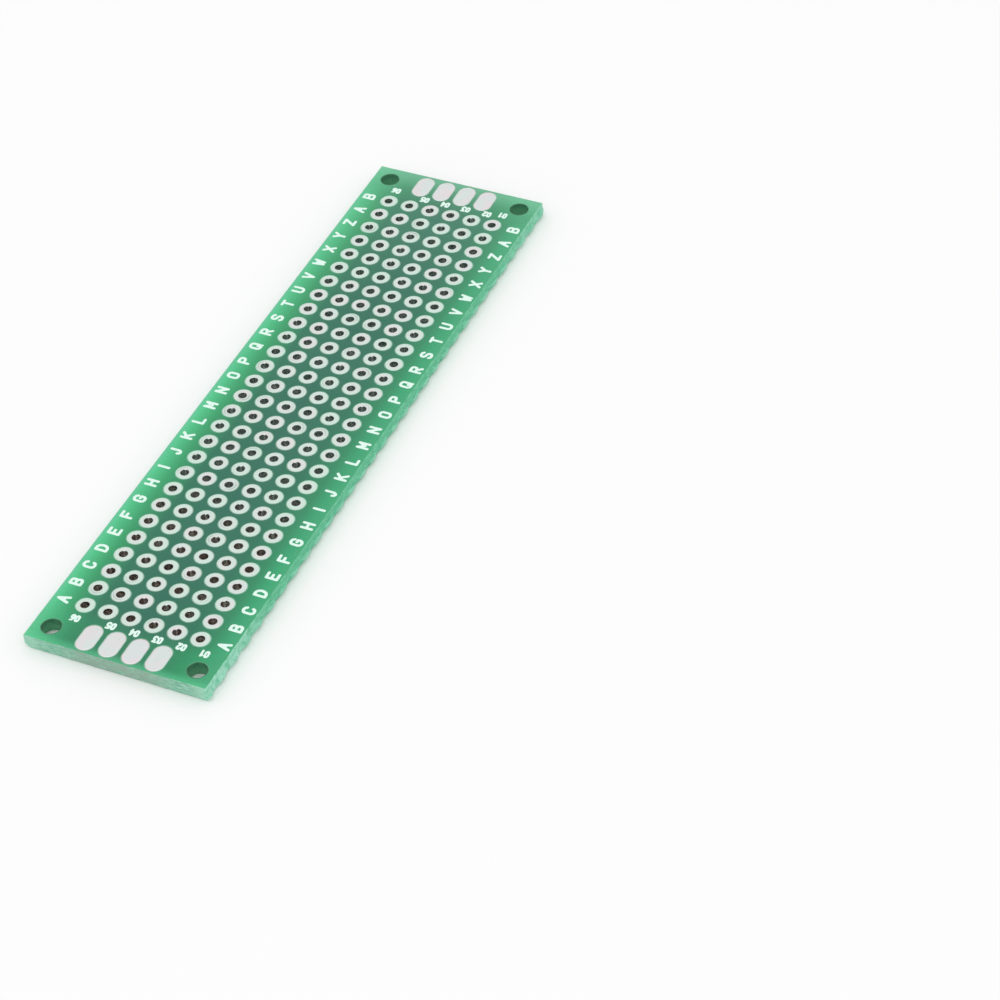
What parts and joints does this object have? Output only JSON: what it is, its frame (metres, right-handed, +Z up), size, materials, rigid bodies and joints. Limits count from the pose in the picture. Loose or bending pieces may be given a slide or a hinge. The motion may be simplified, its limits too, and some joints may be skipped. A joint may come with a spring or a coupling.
{
  "type": "prototype board",
  "caption": "Narrow double-sided prototype board: green lacquered laminate with a grid of plated lead holes, end pads and corner screw holes.",
  "frame": {"origin": "middle of the underside, on the plane of the lower pads' faces that the board rests on, and in the middle of the grid of lead holes", "axes": "+X across the board towards the snapped long edge, +Y along the board from the end with row A, +Z up out of the printed face"},
  "size_m": [0.0203, 0.08, 0.0016],
  "materials": {
    "glass_epoxy": "matte",
    "green_lacquer": "gloss",
    "tinned_copper": "satin",
    "white_ink": "matte"
  },
  "bodies": {
    "root": {"laminate": "glass_epoxy", "upper_lacquer": "green_lacquer", "lower_lacquer": "green_lacquer", "upper_end_pads_near": "tinned_copper", "upper_end_pads_far": "tinned_copper", "lower_end_pads_near": "tinned_copper", "lower_end_pads_far": "tinned_copper", "barrel_row_01": "tinned_copper", "barrel_row_02": "tinned_copper", "barrel_row_03": "tinned_copper", "barrel_row_04": "tinned_copper", "barrel_row_05": "tinned_copper", "barrel_row_06": "tinned_copper", "barrel_row_07": "tinned_copper", "barrel_row_08": "tinned_copper", "barrel_row_09": "tinned_copper", "barrel_row_10": "tinned_copper", "barrel_row_11": "tinned_copper", "barrel_row_12": "tinned_copper", "barrel_row_13": "tinned_copper", "barrel_row_14": "tinned_copper", "barrel_row_15": "tinned_copper", "barrel_row_16": "tinned_copper", "barrel_row_17": "tinned_copper", "barrel_row_18": "tinned_copper", "barrel_row_19": "tinned_copper", "barrel_row_20": "tinned_copper", "barrel_row_21": "tinned_copper", "barrel_row_22": "tinned_copper", "barrel_row_23": "tinned_copper", "barrel_row_24": "tinned_copper", "barrel_row_25": "tinned_copper", "barrel_row_26": "tinned_copper", "barrel_row_27": "tinned_copper", "barrel_row_28": "tinned_copper"}
  },
  "joints": []
}
